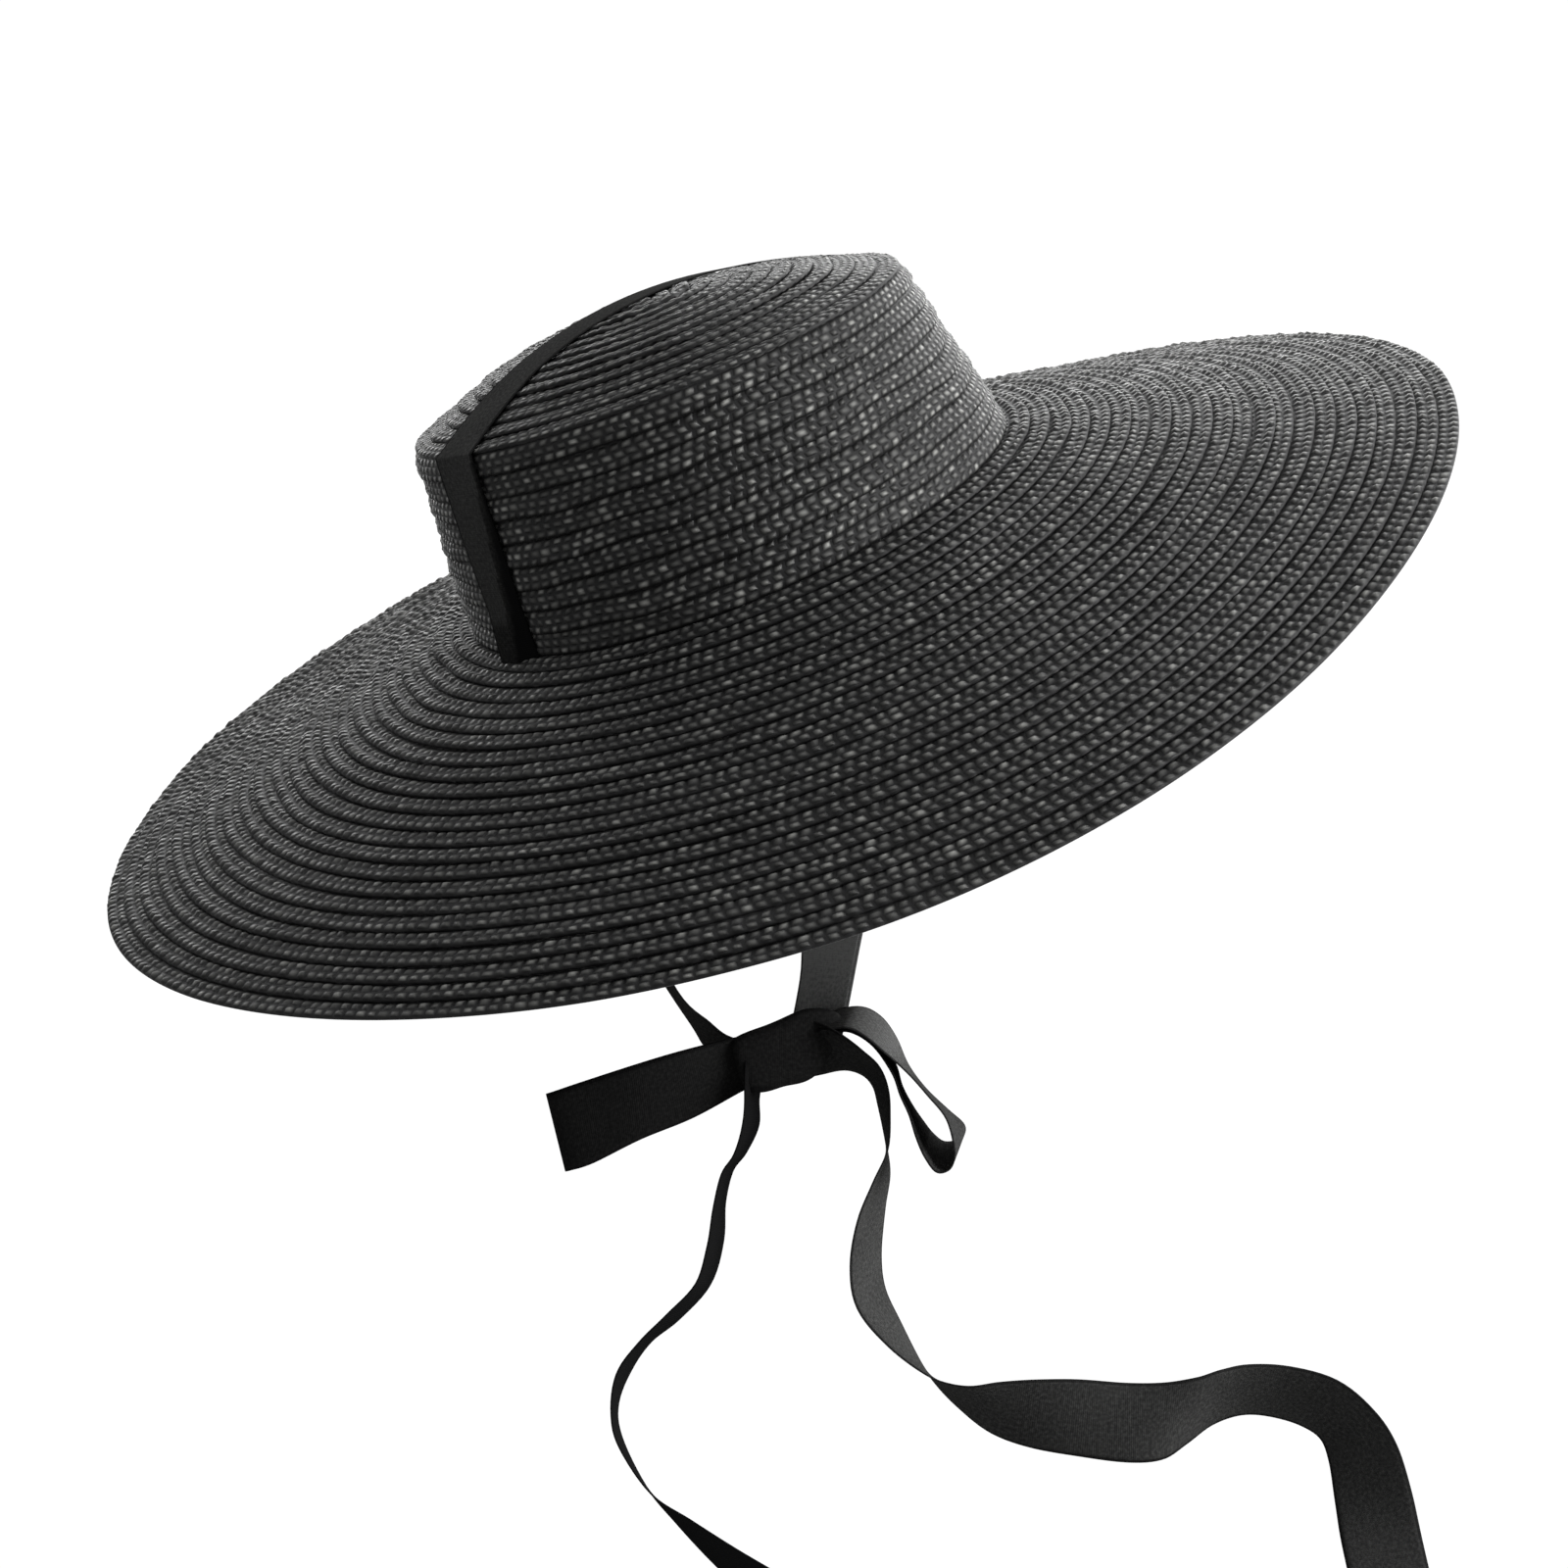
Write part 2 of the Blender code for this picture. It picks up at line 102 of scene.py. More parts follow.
studio = {
    "surround": 0.40,           # light from all round
    "backdrop": 1.05,           # what the camera sees behind the hat
    "floorDrop": 1.1,           # floor below the tails' ends
    "floorSize": 14.0,
    "floorShade": (0.8, 0.8, 0.8, 1.0),
    # direction as shares of the view's right, up and back, then distance, size and power
    "lamps": {
        "keyLamp": ((0.5, 0.6, -0.85), 2.4, 2.6, 72.0),
        "backLamp": ((-0.12, 0.3, -1.0), 2.4, 1.8, 35.0),
        "sideLamp": ((1.0, 0.3, 0.38), 2.4, 1.4, 88.0),
        "leftLamp": ((-1.0, 0.8, -1.1), 2.4, 1.0, 6.0),
        "frontLamp": ((0.0, 0.9, 0.6), 2.6, 1.4, 17.0),
    },
}


def lightStudio():
    scene = bpy.context.scene
    scene.view_settings.view_transform = "Standard"
    world = bpy.data.worlds.new("studio")
    scene.world = world
    world.use_nodes = True
    tree = world.node_tree
    surround = tree.nodes["Background"]
    surround.inputs["Color"].default_value = (1.0, 1.0, 1.0, 1.0)
    surround.inputs["Strength"].default_value = studio["surround"]
    backdrop = tree.nodes.new("ShaderNodeBackground")
    backdrop.inputs["Color"].default_value = (1.0, 1.0, 1.0, 1.0)
    backdrop.inputs["Strength"].default_value = studio["backdrop"]
    path = tree.nodes.new("ShaderNodeLightPath")
    choice = tree.nodes.new("ShaderNodeMixShader")
    tree.links.new(path.outputs["Is Camera Ray"], choice.inputs["Fac"])
    tree.links.new(surround.outputs["Background"], choice.inputs[1])
    tree.links.new(backdrop.outputs["Background"], choice.inputs[2])
    tree.links.new(choice.outputs["Shader"], tree.nodes["World Output"].inputs["Surface"])
    for name, (shares, distance, size, power) in studio["lamps"].items():
        lampData = bpy.data.lights.new(name, "AREA")
        lampData.shape = "DISK"
        lampData.size = size
        lampData.energy = power
        lamp = bpy.data.objects.new(name, lampData)
        toLamp = (viewRight * shares[0] + viewUp * shares[1] + viewBack * shares[2]).normalized()
        lamp.location = toLamp * distance
        lamp.rotation_mode = "QUATERNION"
        lamp.rotation_quaternion = toLamp.to_track_quat("Z", "Y")
        scene.collection.objects.link(lamp)


lightStudio()
print("camera and lights set")


# Shader maths: an expression on fields adds its Math nodes

class Field:
    def __init__(self, tree, socket):
        self.tree = tree
        self.socket = socket

    def node(self, kind, settings=None, sockets=None, output=0):
        made = self.tree.nodes.new(kind)
        for name, value in (settings or {}).items():
            setattr(made, name, value)
        for name, value in (sockets or {}).items():
            if isinstance(value, Field):
                self.tree.links.new(value.socket, made.inputs[name])
            else:
                made.inputs[name].default_value = value
        return Field(self.tree, made.outputs[output])

    def math(self, operation, *values):
        return self.node("ShaderNodeMath", {"operation": operation}, dict(enumerate(values)))

    def __add__(self, other):
        return self.math("ADD", self, other)

    def __radd__(self, other):
        return self.math("ADD", other, self)

    def __sub__(self, other):
        return self.math("SUBTRACT", self, other)

    def __rsub__(self, other):
        return self.math("SUBTRACT", other, self)

    def __mul__(self, other):
        return self.math("MULTIPLY", self, other)

    def __rmul__(self, other):
        return self.math("MULTIPLY", other, self)

    def __pow__(self, other):
        return self.math("POWER", self, other)

    def floor(self):
        return self.math("FLOOR", self)

    def fract(self):
        return self.math("FRACT", self)

    def clear(self):
        return self.math("MAXIMUM", self, 0.0)


def newMaterial(name):
    material = bpy.data.materials.new(name)
    material.use_nodes = True
    tree = material.node_tree
    return material, tree, tree.nodes["Principled BSDF"]


def feed(tree, shader, name, field):
    tree.links.new(field.socket, shader.inputs[name])


# The floor is a plain pale disc far below the tails, as pale as what lies behind it

def makeFloor():
    bm = bmesh.new()
    bmesh.ops.create_circle(bm, cap_ends=True, segments=64, radius=studio["floorSize"] / 2)
    low = packedBox[0].z - studio["floorDrop"]
    bmesh.ops.translate(bm, vec=(0.0, 0.0, low), verts=bm.verts)
    mesh = bpy.data.meshes.new("floor")
    bm.to_mesh(mesh)
    bm.free()
    material, tree, shader = newMaterial("paleFloor")
    shader.inputs["Base Color"].default_value = studio["floorShade"]
    shader.inputs["Roughness"].default_value = 0.9
    glow = Field(tree, shader.outputs["BSDF"])
    seen = glow.node("ShaderNodeLightPath")
    white = glow.node("ShaderNodeEmission", {}, {"Strength": studio["backdrop"]})
    choice = glow.node("ShaderNodeMixShader", {}, {"Fac": seen, 1: glow, 2: white})
    tree.links.new(choice.socket, tree.nodes["Material Output"].inputs["Surface"])
    mesh.materials.append(material)
    floor = bpy.data.objects.new("floor", mesh)
    bpy.context.scene.collection.objects.link(floor)


makeFloor()
print("floor made")


# Straw braid. On its map u counts the stitches along a row, and v the lanes of all rows, over and under

plait = {
    "stitch": 0.004,            # length of a stitch along the row
    "slant": 0.16,              # how far a stitch leans, in stitches
    "plain": 0.19,              # how pale an ordinary stitch is
    "crownGlint": 0.8,          # how much paler the brightest stitches are painted, as painted glints
    "brimGlint": 0.56,
    "streak": 9.0,              # length of the paler stretches, in stitches
    "streakAbove": 0.52,        # level of the noise over which a stretch is paler
    "streakGain": 5,
    "fibreLength": 0.8,         # fibres to a stitch, along it and across it
    "fibreCount": 15.0,
    "dark": (0.0035, 0.0035, 0.0038, 1.0),
    "pale": (0.27, 0.27, 0.255, 1.0),
    "bump": 0.0007,
    "tilt": 1.8,                # how unevenly the stitches lie
}


def strawMaterial(name, glint):
    material, tree, shader = newMaterial(name)
    place = Field(tree, None).node("ShaderNodeUVMap", {"uv_map": "braid"})
    parts = place.node("ShaderNodeSeparateXYZ", sockets={"Vector": place}).socket.node
    along, over = Field(tree, parts.outputs["X"]), Field(tree, parts.outputs["Y"])
    lane = over.floor()
    inLane = over.fract()
    leaning = 1 - 2 * lane.math("MODULO", lane, 2.0)
    run = along + leaning * (inLane - 0.5) * plait["slant"]
    inStitch = run.fract()
    spot = place.node("ShaderNodeCombineXYZ", sockets={
        "X": run.floor(), "Y": lane, "Z": 0.0})
    first, second, third = (
        place.node("ShaderNodeTexWhiteNoise", {"noise_dimensions": "4D"}, {"Vector": spot, "W": seed})
        for seed in (0.7, 3.7, 8.3)
    )
    arch = (1 - ((2 * inStitch - 1) * (0.95 + 0.6 * second)) ** 2).clear()
    rounded = (1 - ((2 * inLane - 1) * (0.95 + 0.4 * third)) ** 2).clear()
    height = arch * rounded
    stretch = place.node("ShaderNodeCombineXYZ", sockets={
        "X": along * (1 / plait["streak"]), "Y": lane, "Z": 0.5})
    streak = place.node("ShaderNodeTexNoise", {"noise_dimensions": "3D"},
                        {"Vector": stretch, "Scale": 1.0, "Detail": 1.0})
    # fine fibres along each stitch
    fibres = place.node("ShaderNodeCombineXYZ", sockets={
        "X": along * plait["fibreLength"], "Y": over * plait["fibreCount"], "Z": first * 9})
    grain = place.node("ShaderNodeTexNoise", {"noise_dimensions": "3D"},
                       {"Vector": fibres, "Scale": 1.0, "Detail": 2.0})
    paler = ((streak - plait["streakAbove"]) * plait["streakGain"]).clear()
    # painted glints: random stitches, and stretches along the rows, painted paler than the plain tone
    lighterTone = plait["plain"] + glint * (first ** 4 + 0.5 * paler * second)
    # painted shade in the gaps between stitches and a painted highlight on each stitch's crown, as the
    # colour follows the stitch's height
    tone = height ** 1.5 * lighterTone * (0.5 + grain)
    colour = place.node("ShaderNodeMix", {"data_type": "RGBA"},
                        {"Factor": tone, "A": plait["dark"], "B": plait["pale"]}, output=2)
    feed(tree, shader, "Base Color", colour)
    feed(tree, shader, "Roughness", 0.62 - 0.26 * second * height)
    shader.inputs["Specular IOR Level"].default_value = 0.35
    tilt = plait["tilt"] * ((second - 0.5) * (inStitch - 0.5) + (third - 0.5) * (inLane - 0.5))
    lift = height * (0.6 + 0.4 * second + tilt) + 0.12 * grain
    bump = place.node("ShaderNodeBump", {}, {
        "Strength": 1.0, "Distance": plait["bump"], "Height": lift})
    feed(tree, shader, "Normal", bump)
    return material


# the crown gets more painted glints than the brim
straw = {
    "crown": strawMaterial("crownStraw", plait["crownGlint"]),
    "brim": strawMaterial("brimStraw", plait["brimGlint"]),
}


# Crown and brim

hat = {
    "crownHalf": (0.088, 0.097),      # outer face at the base, ear to ear and front to back
    "topHalf": (0.0758, 0.0874),      # sharp top edge
    "crownHeight": 0.058,
    "topLean": (0.004, 0.0034),       # how much higher the top edge is at -X and at the front
    "domeRise": 0.017,
    "topRows": 13,
    "sideRows": 9,
    "brimHalf": (0.2255, 0.220),
    "brimShift": 0.003,               # how far the rim sits to the back
    "brimDrop": 0.0425,               # mean drop of the rim
    "brimRows": 22,
    "footGap": 0.0016,                # from the crown's base to the brim's first seam
    "drawnIn": 0.0052,                # how much the base is drawn in near -X
    "drawnAt": 160.0,                 # where that is, in degrees round from +X
    "drawnFade": 6,                   # how soon it fades out to either side
    # height of the rim as shares of brimDrop: waves round the hat, along X and along Y
    "rimWaves": ((1, -0.05, 0.39), (2, 0.035, -0.11), (3, -0.05, -0.055)),
}


def stacked(x, y, z):
    return np.stack((x, y, z), axis=-1)


def baseHalf(angle, drawnIn):
    # half-axes of the crown's foot, which are smaller where it is drawn in
    near = np.maximum(np.cos(angle - math.radians(hat["drawnAt"])), 0.0)
    drawn = drawnIn * near ** hat["drawnFade"]
    return [half - drawn for half in hat["crownHalf"]]


def crownFace(run, angle, drawnIn=hat["drawnIn"]):
    # run 0 is the middle of the top, 1 its edge and 2 the base
    cosine, sine = np.cos(angle), np.sin(angle)
    topX, topY = hat["topHalf"]
    baseX, baseY = baseHalf(angle, drawnIn)
    lean = -hat["topLean"][0] * cosine - hat["topLean"][1] * sine
    onTop = np.clip(run, 0.0004, 1.0)
    dome = hat["crownHeight"] + lean * onTop + hat["domeRise"] * (1 - onTop * onTop)
    side = (hat["crownHeight"] + lean) * (2 - run)
    down = np.maximum(run - 1, 0.0)
    return stacked(
        cosine * (topX * onTop + (baseX - topX) * down),
        sine * (topY * onTop + (baseY - topY) * down),
        np.where(run <= 1, dome, side),
    )


def brimFace(run, angle):
    # run 0 is the crown's foot and 1 the rim
    cosine, sine = np.cos(angle), np.sin(angle)
    footX, footY = (half + hat["footGap"] for half in baseHalf(angle, hat["drawnIn"]))
    rimX, rimY = hat["brimHalf"]
    height = -np.ones_like(angle)
    for waves, alongX, alongY in hat["rimWaves"]:
        height = height + alongX * np.cos(waves * angle) + alongY * np.sin(waves * angle)
    return stacked(
        cosine * (footX + (rimX - footX) * run),
        sine * (footY + (rimY - footY) * run) + hat["brimShift"] * run,
        hat["brimDrop"] * height * np.maximum(run, 0.0),
    )


def pressOver(face, run, angle, height, low, high):
    # normals are read inside the stretch from low to high, so that no row rounds a sharp edge
    step = 0.004
    inside = np.clip(run, low + step, high - step)
    alongFace = face(inside + step, angle) - face(inside - step, angle)
    roundFace = face(inside, angle + step) - face(inside, angle - step)
    outward = np.cross(alongFace, roundFace)
    outward /= np.linalg.norm(outward, axis=1, keepdims=True)
    return face(run, angle) + outward * height[:, None]


row = {
    "pitch": 0.0065,            # about the width of a row
    "rise": 0.0013,             # how far the outer edge stands over the next row
    "thick": 0.0012,
    "tuck": 0.2,                # share of a row under the row before it
    "footTuck": 0.55,           # the same of the brim's first row, under the crown
    "crownLanes": 3,            # stitches side by side in a row
    "brimLanes": 2,
    "stitchRise": (0.0, 0.8, 1.0, 0.8),     # relief along a stitch
    "strength": (0.4, 1.4),     # least and most relief of a stitch
    "crownRelief": 0.0003,      # height of the stitches
    "brimRelief": 0.0008,
    "crownBulge": 0.0005,       # how much a row rounds up between its seams
    "brimBulge": 0.0001,
    "uneven": 0.3,              # how much the rows' heights differ
    "pressed": 0.6,             # how much of its height a row loses under the ribbon
    "wander": 0.0003,           # unevenness of the sewing, up and along the face
    "swells": 30,               # stretches of that unevenness round the hat
}


crownRibbon = {
    # run over the crown's face, share of the ribbon's width that shows, and how far back it lies
    "gathers": (
        (2.0, 0.66, -0.0026),
        (1.75, 0.62, -0.0025),
        (1.4, 0.76, 0.0),
        (1.03, 0.84, 0.002),
        (1.0, 0.84, 0.002),
        (0.97, 0.82, 0.002),
        (0.5, 0.74, 0.007),
        (0.0, 0.72, 0.007),
    ),
    "steps": 8,                 # facets from one of these to the next
    "footDrop": 0.004,          # how far it reaches below the crown's base
    "turned": 0.5,              # share of the width that turns in to the crown at the foot
    "turnedFrom": 0.55,         # where that begins, as a share of the way from the top to the foot
    "turnDepth": 0.0036,
    "turnShade": 5,             # how soon the turned part is painted dark, as painted shade
    "width": 0.025,
    "margin": 0.001,            # how far beside it the rows are pressed too
}


def underRibbon(run, angle):
    # the share of its height that a row keeps, as the ribbon presses on it
    runs, shares, asides = np.array(crownRibbon["gathers"])[::-1].T
    half = np.interp(run, runs, shares) * crownRibbon["width"] / 2 + crownRibbon["margin"]
    aside = crownFace(run, angle)[:, 1] - np.interp(run, runs, asides)
    return 1 - row["pressed"] * np.exp(-(aside / half) ** 4)


def rowSection(tuck, lanes, bulge):
    # share of the row's width, height, share of the relief there, and place on the map in rows
    rise, thick = row["rise"], row["thick"]
    section = [(-tuck, -rise * tuck, 0.0, -tuck)]
    half = 2 * lanes
    for step in range(half):
        share = step / half
        swell = bulge * math.sin(math.pi * share)
        section.append((share, rise * share + swell, step % 2, share))
    section.append((0.96, rise * 0.94, 0.4, 0.96))
    section.append((1.03, rise - thick * 0.5, 0.0, 1.03))
    section.append((0.98, rise - thick, 0.0, 1.08))
    section.append((-tuck, -rise * tuck - thick, 0.0, 2 + tuck))
    return section + [section[0]]


def braidRow(face, first, width, index, length, low, high, seed, tuck, node):
    # one row as a closed band: a flat grid rolled round its section and round the hat
    cells = max(8, round(length / plait["stitch"]))
    facets = len(row["stitchRise"])
    turns = cells * facets
    lanes = row[node + "Lanes"]
    section = np.array(rowSection(tuck, lanes, row[node + "Bulge"]))
    corners = len(section) - 1
    bm = bmesh.new()
    bmesh.ops.create_grid(bm, x_segments=turns, y_segments=corners, size=0.5)
    mesh = bpy.data.meshes.new("row")
    bm.to_mesh(mesh)
    grid = np.empty(len(mesh.vertices) * 3)
    mesh.vertices.foreach_get("co", grid)
    grid = grid.reshape(-1, 3)
    position = np.rint((grid[:, 0] + 0.5) * turns).astype(int)
    corner = np.rint((grid[:, 1] + 0.5) * corners).astype(int)
    share, height, relief, pattern = section[corner].T
    angle = position / turns * 2 * math.pi

    chance = np.random.default_rng(seed)
    strength = chance.uniform(*row["strength"], (lanes, cells))
    lane = np.clip((share * lanes).astype(int), 0, lanes - 1)
    starts = chance.integers(0, facets, lanes)
    along = (position + starts[lane]) % turns
    lift = np.array(row["stitchRise"])[along % facets] * strength[lane, along // facets]
    # slow unevenness along the row
    wave = chance.normal(0.0, 1.0, row["swells"])
    spot = position / turns * row["swells"]
    before = np.floor(spot).astype(int)
    blend = spot - before
    blend = blend * blend * (3 - 2 * blend)
    swell = wave[before % row["swells"]] * (1 - blend)
    swell += wave[(before + 1) % row["swells"]] * blend
    height = height * chance.uniform(1 - row["uneven"], 1 + row["uneven"] / 2)
    height += lift * relief * row[node + "Relief"]
    height += row["wander"] * swell * np.clip(share, 0, 1)
    # the face's own ends stay where they are
    free = np.clip((high - first) / width - share, 0, 1) * np.clip((first - low) / width + share, 0, 1)
    run = first + width * (share + free * swell * row["wander"] / row["pitch"])
    if node == "crown":
        height *= underRibbon(run, angle)
    placed = pressOver(face, run, angle, height, low, high)
    mesh.vertices.foreach_set("co", placed.ravel())

    # the map, and the band closed where the grid's ends meet
    uses = np.empty(len(mesh.loops), dtype=np.int32)
    mesh.loops.foreach_get("vertex_index", uses)
    onBand = np.where(corner == corners, section[0, 3] + 2, pattern) + 2 * index
    strip = corner[uses].reshape(-1, 4).min(axis=1).repeat(4)
    middle = (section[strip, 0] + section[strip + 1, 0]) / 2
    start = starts[np.clip((middle * lanes).astype(int), 0, lanes - 1)]
    values = np.stack(((position[uses] + start) / facets, (onBand * lanes)[uses]), axis=-1)
    mesh.uv_layers.new(name="braid").data.foreach_set("uv", values.ravel())
    bm.clear()
    bm.from_mesh(mesh)
    bmesh.ops.remove_doubles(bm, verts=bm.verts, dist=0.000001)
    bmesh.ops.recalc_face_normals(bm, faces=bm.faces)
    bm.to_mesh(mesh)
    bm.free()
    return mesh


def joinMeshes(name, meshes, material):
    bm = bmesh.new()
    for mesh in meshes:
        bm.from_mesh(mesh)
        bpy.data.meshes.remove(mesh)
    whole = bpy.data.meshes.new(name)
    bm.to_mesh(whole)
    bm.free()
    whole.shade_smooth()
    whole.materials.append(material)
    piece = bpy.data.objects.new(name, whole)
    bpy.context.scene.collection.objects.link(piece)
    return piece


def braidRows(name, node, face, rows, low, high, total):
    # these rows of the total that fill the face from low to high
    width = (high - low) / total
    meshes = []
    for index in rows:
        first = low + width * index
        angles = np.linspace(0, 2 * math.pi, 120)
        loop = face(np.full_like(angles, first + width * 0.5), angles)
        length = np.linalg.norm(np.diff(loop, axis=0), axis=1).sum()
        seed = 1000 * len(name) + index
        tuck = row["footTuck"] if node == "brim" and index == 0 else row["tuck"]
        meshes.append(braidRow(face, first, width, index, length, low, high, seed, tuck, node))
    piece = joinMeshes(name, meshes, straw[node])
    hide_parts(node)
    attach(piece, "root")
    print(name, len(piece.data.polygons), "faces")


braidRows("crownTopRows", "crown", crownFace, range(hat["topRows"]), 0.0, 1.0, hat["topRows"])
braidRows("crownSideRows", "crown", crownFace, range(hat["sideRows"]), 1.0, 2.0, hat["sideRows"])
for part, rows in enumerate((range(0, 7), range(7, 12), range(12, 17), range(17, 22))):
    braidRows("brimRows" + str(part + 1), "brim", brimFace, rows, 0.0, 1.0, hat["brimRows"])


# Ribbon

ribbon = {
    "width": 0.025,
    "thick": 0.0005,
    "across": 12,               # facets across the ribbon
    "steps": 6,                 # facets from one section to the next
    "black": (0.006, 0.006, 0.0062, 1.0),
    "lighterTone": (0.032, 0.032, 0.031, 1.0),
    # grey of the painted sheen, a painted highlight on the ribbon's lit stretches
    "paintedSheen": (0.29, 0.292, 0.29, 1.0),
    "edge": 0.0009,             # width of the woven edge
    "ribs": 1500.0,             # to a metre along the ribbon
    "threads": 2200.0,          # to a metre across it
    "offset": 0.0014,           # middle of the ribbon over the crown's seams
    "backSheenMost": 0.1,           # the most painted sheen on a ribbon's other face
}


def ribbonMaterial():
    material, tree, shader = newMaterial("blackRibbon")
    place = Field(tree, None).node("ShaderNodeUVMap", {"uv_map": "weave"})
    # this attribute is painted light: above 0 a grey painted sheen, below 0 a painted shade
    sheenAndShade = place.node("ShaderNodeAttribute", {"attribute_name": "sheenAndShade"}, output=2)
    parts = place.node("ShaderNodeSeparateXYZ", sockets={"Vector": place}).socket.node
    along, across = Field(tree, parts.outputs["X"]), Field(tree, parts.outputs["Y"])
    rib = (1 - (2 * (along * ribbon["ribs"]).fract() - 1) ** 2).clear()
    thread = (1 - (2 * (across * ribbon["threads"]).fract() - 1) ** 2).clear()
    speck = place.node("ShaderNodeTexNoise", {"noise_dimensions": "2D"},
                       {"Vector": place, "Scale": 900.0, "Detail": 2.0})
    cloud = place.node("ShaderNodeTexNoise", {"noise_dimensions": "2D"},
                       {"Vector": place, "Scale": 60.0, "Detail": 3.0})
    middle = across.math("ABSOLUTE", across)
    onEdge = middle.math("GREATER_THAN", middle, ribbon["width"] / 2 - ribbon["edge"])
    rest = 1 - 0.6 * onEdge
    # painted shade: below 0 the speckled tone goes to black
    outOfShade = (1 + sheenAndShade.math("MINIMUM", sheenAndShade, 0.0)).clear()
    tone = (speck ** 2 * 1.4 + cloud * 0.3) * rest * outOfShade
    lighterTone = place.node("ShaderNodeMix", {"data_type": "RGBA"},
                      {"Factor": tone, "A": ribbon["black"], "B": ribbon["lighterTone"]}, output=2)
    # painted sheen: above 0 the colour turns grey
    sheenShare = sheenAndShade.clear() * rest * (0.6 + 0.8 * tone)
    colour = place.node("ShaderNodeMix", {"data_type": "RGBA"},
                        {"Factor": sheenShare, "A": lighterTone, "B": ribbon["paintedSheen"]}, output=2)
    feed(tree, shader, "Base Color", colour)
    feed(tree, shader, "Roughness", 0.7 + 0.2 * speck)
    shader.inputs["Specular IOR Level"].default_value = 0.0
    bump = place.node("ShaderNodeBump", {}, {
        "Strength": 0.6, "Distance": 0.0001, "Height": rib * 0.8 + thread * 0.3 + speck * 0.3})
    feed(tree, shader, "Normal", bump)
    return material


blackRibbon = ribbonMaterial()


def smoothRows(rows, steps):
    # Catmull-Rom values between rows of numbers
    rows = [Vector(values) for values in rows]
    rows = [2 * rows[0] - rows[1]] + rows + [2 * rows[-1] - rows[-2]]
    values = []
    for before, start, end, after in zip(rows, rows[1:], rows[2:], rows[3:]):
        for step in range(steps):
            t = step / steps
            bend = 2 * before - 5 * start + 4 * end - after
            twist = 3 * start - before - 3 * end + after
            values.append(start + 0.5 * t * ((end - before) + t * (bend + t * twist)))
    values.append(rows[-2])
    return values


def ribbonPiece(name, node, cuts, fold=None, sheenAndShadeAlong=((0, 0), (1, 0)), shade=None):
    # cuts are (middle, across) in the hat's frame; fold gives a rise for a share along and across;
    # the next table pairs a share of the length with how much grey painted sheen lies on the ribbon
    # there, or below 0 how dark painted shade makes it; shade paints on more shade, taken off that
    # value
    count = len(cuts) - 1
    bm = bmesh.new()
    uvs = bm.loops.layers.uv.new("weave")
    sheenAndShade = bm.verts.layers.float.new("sheenAndShade")
    bmesh.ops.create_grid(bm, x_segments=count, y_segments=ribbon["across"], size=0.5)
    travel = [0.0]
    for (start, _), (end, _) in zip(cuts, cuts[1:]):
        travel.append(travel[-1] + (end - start).length)
    keys = {vert: (round((vert.co.x + 0.5) * count), vert.co.y) for vert in bm.verts}
    for face in bm.faces:
        for loop in face.loops:
            index, share = keys[loop.vert]
            loop[uvs].uv = (travel[index], share * ribbon["width"])
    for vert, (index, share) in keys.items():
        middle, across = cuts[index]
        forward = cuts[min(index + 1, count)][0] - cuts[max(index - 1, 0)][0]
        outward = forward.cross(across).normalized()
        rise = fold(index / count, share) if fold else 0.0
        vert.co = middle + across * share + outward * rise
        vert[sheenAndShade] = np.interp(travel[index] / travel[-1], *zip(*sheenAndShadeAlong))
        if shade:
            vert[sheenAndShade] -= 1.1 * shade(index / count, share)
    # thickness, half to either side, with a back that gets little painted sheen
    bm.normal_update()
    for vert in bm.verts:
        vert.co += vert.normal * ribbon["thick"] / 2
    fronts = set(bm.verts)
    bmesh.ops.solidify(bm, geom=bm.faces[:], thickness=ribbon["thick"])
    for vert in bm.verts:
        if vert not in fronts:
            vert[sheenAndShade] = min(vert[sheenAndShade], ribbon["backSheenMost"])
    bmesh.ops.recalc_face_normals(bm, faces=bm.faces)
    mesh = bpy.data.meshes.new(name)
    bm.to_mesh(mesh)
    bm.free()
    mesh.shade_smooth()
    mesh.materials.append(blackRibbon)
    piece = bpy.data.objects.new(name, mesh)
    bpy.context.scene.collection.objects.link(piece)
    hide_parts(node)
    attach(piece, "root")
    print(name, "done")


def crownAcross(run, angle):
    # to the back, along the crown's own slope
    if run < 0.01:
        return Vector((0.0, 1.0, -hat["topLean"][1] / hat["topHalf"][1])).normalized()
    after, before = crownFace(np.array([run, run]), np.array([angle + 0.05, angle - 0.05]), 0.0)
    across = Vector(after - before).normalized()
    return across * math.copysign(1.0, across.y)


def aboveCrown(run, angle):
    # held off far enough at the sharp edge, and straight on down where the base is drawn in
    def tautFace(run, angle):
        return crownFace(run, angle, 0.0)
    near = np.array([max(run - 0.01, 0.0005), run + 0.01])
    at = np.full(2, angle)
    normals = pressOver(tautFace, near, at, np.ones(2), 0.0, 3.0) - tautFace(near, at)
    both = Vector(normals.sum(axis=0))
    middle = Vector(tautFace(np.array([run]), at[:1])[0])
    return middle + both * (2 * ribbon["offset"] / both.length_squared)


def crownRibbonSide(angle):
    rows = crownRibbon["gathers"]
    steps = crownRibbon["steps"]
    places = [Vector(rows[0])]
    for start, end in zip(rows, rows[1:]):
        places += [Vector(start).lerp(Vector(end), (step + 1) / steps) for step in range(steps)]
    cuts = []
    for run, width, aside in places:
        across = crownAcross(run, angle)
        cuts.append((aboveCrown(run, angle) + across * aside, across * width * ribbon["width"]))
    foot = cuts[0][0].copy()
    foot.z = -crownRibbon["footDrop"]
    return [(foot, cuts[0][1].copy())] + cuts


